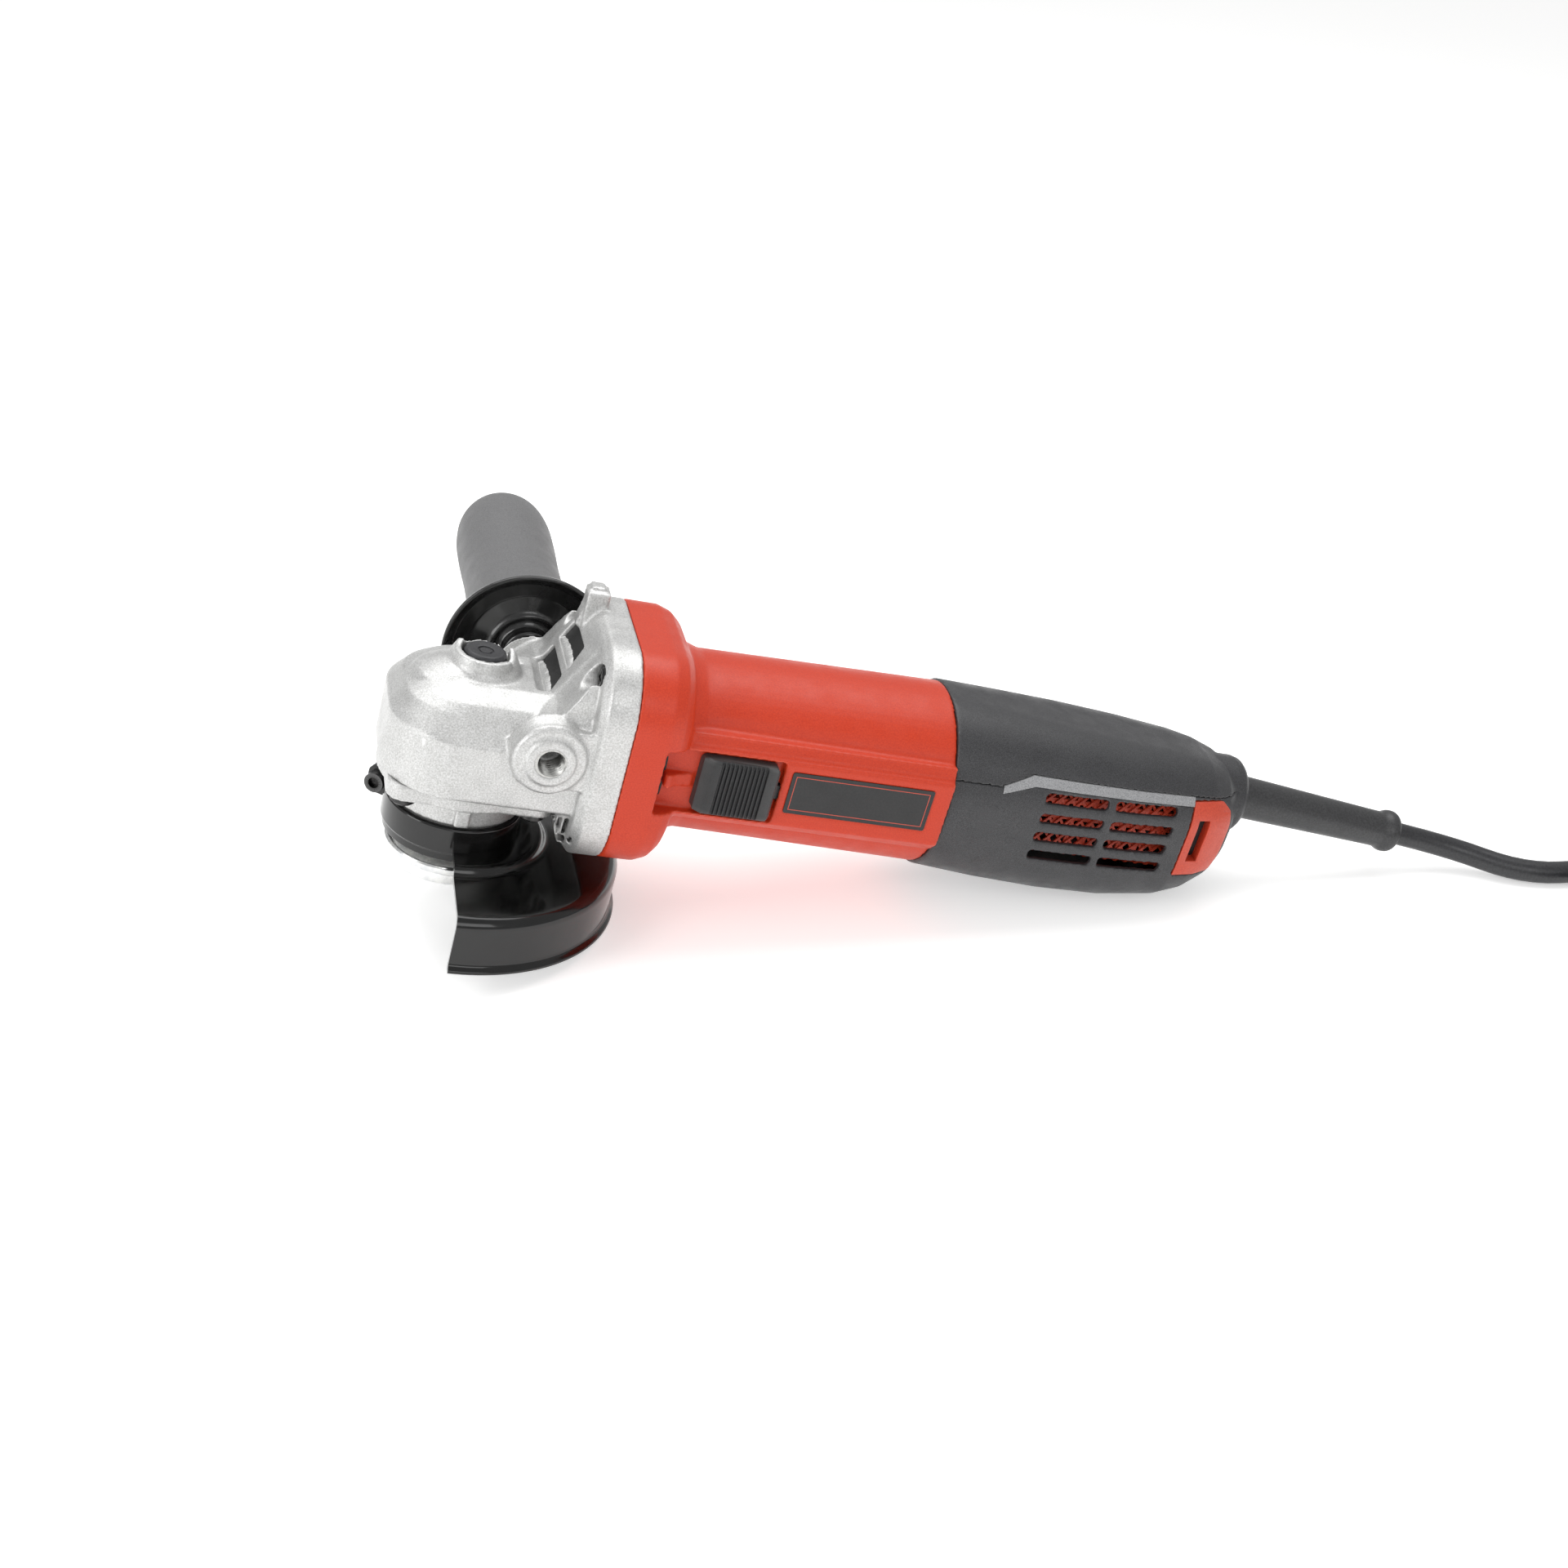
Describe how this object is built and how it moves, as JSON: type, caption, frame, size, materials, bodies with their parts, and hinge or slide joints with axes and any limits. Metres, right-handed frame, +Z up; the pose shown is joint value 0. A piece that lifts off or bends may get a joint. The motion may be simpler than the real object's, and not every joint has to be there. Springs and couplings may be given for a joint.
{
  "type": "angle grinder",
  "caption": "Hand-held electric angle grinder with a slide switch, side handle, wheel guard, bevel gear head and mains lead with plug.",
  "frame": {"origin": "centre of the underside of the box round the tool, cord left out, on the surface it stands on", "axes": "+X from the gear head towards the lead, +Y towards the side handle, +Z up. The tool rests on the rear lip of its guard and the belly of its handle, so its own axis falls 10.1 degrees towards the lead."},
  "size_m": [0.5857, 0.3055, 0.1164],
  "materials": {
    "cast_alloy": "die-cast, fine sand texture",
    "black_steel": "black oxide",
    "guard_paint": "gloss black enamel",
    "steel": "machined",
    "zinc_steel": "bright zinc",
    "bronze": "sintered",
    "copper": "enamelled winding",
    "lamination": "punched sheet stack",
    "graphite": "pressed carbon",
    "red_plastic": "satin moulded",
    "filter_red": "satin moulded",
    "handle_plastic": "fine spark texture",
    "stripe_grey": "satin",
    "switch_plastic": "satin moulded",
    "plate_black": "printed film",
    "disc_plastic": "semi-gloss moulded",
    "grip_plastic": "fine grain",
    "sleeve_rubber": "moulded",
    "cord_rubber": "extruded",
    "seal_rubber": "moulded",
    "nickel": "nickel plated"
  },
  "bodies": {
    "root": {"bearing_boot": "seal_rubber", "brush_holders": "bronze", "brush_springs": "steel", "carbon_brushes": "graphite", "cord_clamp": "handle_plastic", "cord_coil": "cord_rubber", "cord_sleeve": "sleeve_rubber", "cover_screws": "black_steel", "dust_seal": "seal_rubber", "fan_baffle": "switch_plastic", "field_coils": "copper", "front_bearing_balls": "steel", "front_bearing_outer": "steel", "gear_housing": "cast_alloy", "gearbox_cover": "cast_alloy", "handle_lower": "handle_plastic", "handle_screws": "black_steel", "handle_stripes": "stripe_grey", "handle_upper": "handle_plastic", "head_screws": "black_steel", "lock_spring": "steel", "motor_housing": "red_plastic", "nameplate": "plate_black", "plug_body": "cord_rubber", "plug_pins": "nickel", "power_cord": "cord_rubber", "rear_bearing_balls": "steel", "rear_bearing_outer": "steel", "spindle_bearing_balls": "steel", "spindle_bearing_outer": "steel", "spindle_bush": "bronze", "stator_core": "lamination", "stator_screws": "steel", "switch_block": "switch_plastic"},
    "armature": {"armature_shaft": "steel", "armature_core": "lamination", "armature_windings": "copper", "commutator": "copper", "cooling_fan": "switch_plastic", "bevel_pinion": "steel", "front_bearing_inner": "steel", "rear_bearing_inner": "steel"},
    "spindle": {"spindle": "steel", "crown_gear": "steel", "gear_circlip": "steel", "spindle_bearing_inner": "steel", "inner_flange": "zinc_steel", "flange_nut": "zinc_steel"},
    "lock": {"lock_button": "switch_plastic", "lock_pin": "steel"},
    "guard": {"wheel_guard": "guard_paint", "guard_clamp_screw": "black_steel", "guard_clamp_nut": "black_steel"},
    "switch": {"switch_slider": "switch_plastic", "switch_rod": "steel"},
    "side_handle": {"side_handle_disc": "disc_plastic", "side_handle_grip": "grip_plastic", "side_handle_stud": "steel"},
    "filter_left": {"dust_filter_left": "filter_red"},
    "filter_right": {"dust_filter_right": "filter_red"}
  },
  "joints": [
    {"name": "armature_spin", "type": "hinge", "parent": "root", "child": "armature", "pos_m": [-0.16162, -0.05, 0.07771], "axis": [0.9844, 0, -0.176], "continuous": true},
    {"name": "spindle_spin", "type": "hinge", "parent": "root", "child": "spindle", "pos_m": [-0.16787, -0.05, 0.04276], "axis": [0.176, 0, 0.9844], "continuous": true},
    {"name": "lock_press", "type": "slide", "parent": "root", "child": "lock", "axis": [-0.176, 0, -0.9844], "range_m": [0, 0.004], "stiffness_N_per_m": 900, "springref_m": -0.003, "deforming": ["lock_spring"]},
    {"name": "guard_turn", "type": "hinge", "parent": "root", "child": "guard", "pos_m": [-0.16787, -0.05, 0.04276], "axis": [0.176, 0, 0.9844], "range_deg": [-90, 90]},
    {"name": "switch_slide", "type": "slide", "parent": "root", "child": "switch", "axis": [-0.9844, 0, 0.176], "range_m": [0, 0.007]},
    {"name": "side_handle_unscrew", "type": "slide", "parent": "root", "child": "side_handle", "axis": [0, 1, 0], "range_m": [0, 0.014]},
    {"name": "filter_left_slide", "type": "slide", "parent": "root", "child": "filter_left", "axis": [0.9844, 0, -0.176], "range_m": [0, 0.035]},
    {"name": "filter_right_slide", "type": "slide", "parent": "root", "child": "filter_right", "axis": [0.9844, 0, -0.176], "range_m": [0, 0.035]}
  ],
  "couplings": [
    {"joint": "spindle_spin", "follows": "armature_spin", "ratio": 0.33333}
  ]
}
